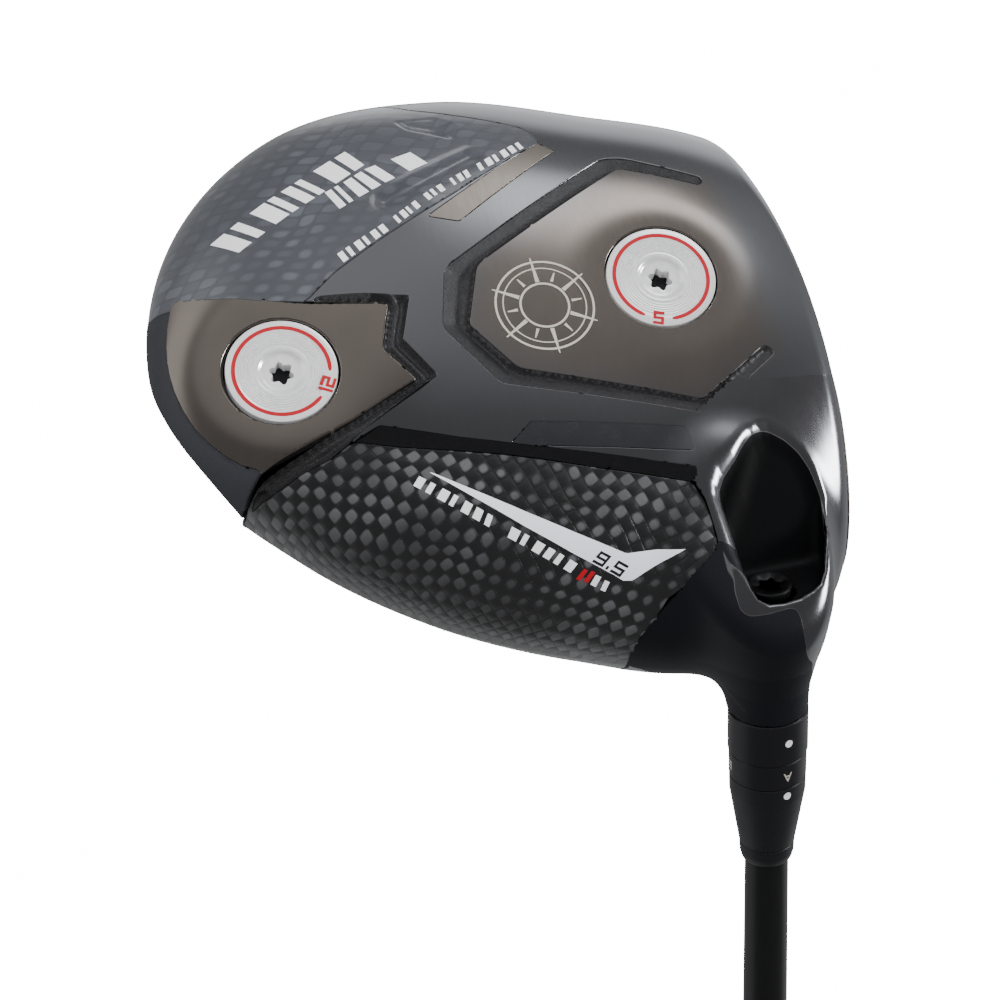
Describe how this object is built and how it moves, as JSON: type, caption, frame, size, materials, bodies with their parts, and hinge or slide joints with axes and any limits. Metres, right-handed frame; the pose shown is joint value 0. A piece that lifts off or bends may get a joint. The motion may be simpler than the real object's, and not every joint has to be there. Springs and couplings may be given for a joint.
{
  "type": "golf driver",
  "caption": "Right-handed golf driver: hollow titanium and carbon head with screw-in sole weights, adjustable hosel, carbon shaft and rubber grip.",
  "frame": {"origin": "centre of the flat butt end of the grip, on the shaft's axis", "axes": "+Z along the shaft's axis from the grip to the head, +X the way the club face looks (the target), -Y the side that the sole faces, so the club stands on its butt end with the head on top"},
  "size_m": [0.1246, 0.1216, 1.2023],
  "materials": {
    "polished_body": "dark brown-black vapour-deposited coating, mirror polished",
    "face_metal": "brushed dark metal with fine milled lines",
    "crown_carbon": "black carbon weave under clear gloss lacquer",
    "toe_carbon": "blue-grey carbon weave under satin-gloss lacquer",
    "heel_carbon": "high-contrast black and grey carbon weave under gloss lacquer",
    "silver_foil": "silver-white satin foil",
    "weight_metal": "turned bright aluminium with a red painted ring",
    "hosel_black": "satin black anodised",
    "screw_steel": "black oxide",
    "black_nylon": "moulded black plastic",
    "carbon_shaft": "black satin paint over carbon",
    "grip_rubber": "matt black rubber with a fine moulded pattern",
    "grip_tape": "double-sided paper tape"
  },
  "bodies": {
    "shaft_assembly": {"shaft": "carbon_shaft", "grip": "grip_rubber", "grip_tape": "grip_tape", "grip_cap": "grip_rubber", "tip_plug": "black_nylon", "ferrule": "black_nylon", "shaft_sleeve": "hosel_black"},
    "index_ring": {"index_ring": "hosel_black"},
    "screw_carrier": {"screw_washer": "screw_steel"},
    "hosel_screw": {"hosel_screw": "screw_steel", "screw_retainer": "black_nylon"},
    "head": {"head_body": "polished_body", "face_insert": "face_metal", "crown_panel": "crown_carbon", "toe_panel": "toe_carbon", "heel_panel": "heel_carbon", "heel_chevron": "silver_foil", "rear_pod": "polished_body", "hosel_collar": "hosel_black"},
    "front_weight_carrier": {"front_weight_washer": "black_nylon"},
    "front_weight": {"front_weight": "weight_metal"},
    "rear_weight_carrier": {"rear_weight_washer": "black_nylon"},
    "rear_weight": {"rear_weight": "weight_metal"}
  },
  "joints": [
    {"name": "head_lift", "type": "slide", "parent": "shaft_assembly", "child": "screw_carrier", "axis": [0, 0, 1], "range_m": [0, 0.0096]},
    {"name": "hosel_screw_turn", "type": "hinge", "parent": "screw_carrier", "child": "hosel_screw", "pos_m": [0, 0, 1.14], "axis": [0, 0, 1], "range_deg": [0, 4320.1]},
    {"name": "head_turn", "type": "hinge", "parent": "screw_carrier", "child": "head", "pos_m": [0, 0, 1.115], "axis": [0, 0, 1], "continuous": true},
    {"name": "index_ring_turn", "type": "hinge", "parent": "shaft_assembly", "child": "index_ring", "pos_m": [0, 0, 1.103], "axis": [0, 0, 1], "continuous": true},
    {"name": "front_weight_travel", "type": "slide", "parent": "head", "child": "front_weight_carrier", "axis": [0, -0.5299, 0.848], "range_m": [0, 0.006]},
    {"name": "front_weight_turn", "type": "hinge", "parent": "front_weight_carrier", "child": "front_weight", "pos_m": [-0.0046, 0.04655, 1.18373], "axis": [0, -0.5299, 0.848], "range_deg": [0, 2160.1]},
    {"name": "rear_weight_travel", "type": "slide", "parent": "head", "child": "rear_weight_carrier", "axis": [-0.0802, -0.5282, 0.8453], "range_m": [0, 0.006]},
    {"name": "rear_weight_turn", "type": "hinge", "parent": "rear_weight_carrier", "child": "rear_weight", "pos_m": [-0.0794, 0.04522, 1.17925], "axis": [-0.0802, -0.5282, 0.8453], "range_deg": [0, 2160.1]}
  ],
  "couplings": [
    {"joint": "hosel_screw_turn", "follows": "head_lift", "rad_per_m": 7854},
    {"joint": "front_weight_turn", "follows": "front_weight_travel", "rad_per_m": 6283.2},
    {"joint": "rear_weight_turn", "follows": "rear_weight_travel", "rad_per_m": 6283.2}
  ]
}
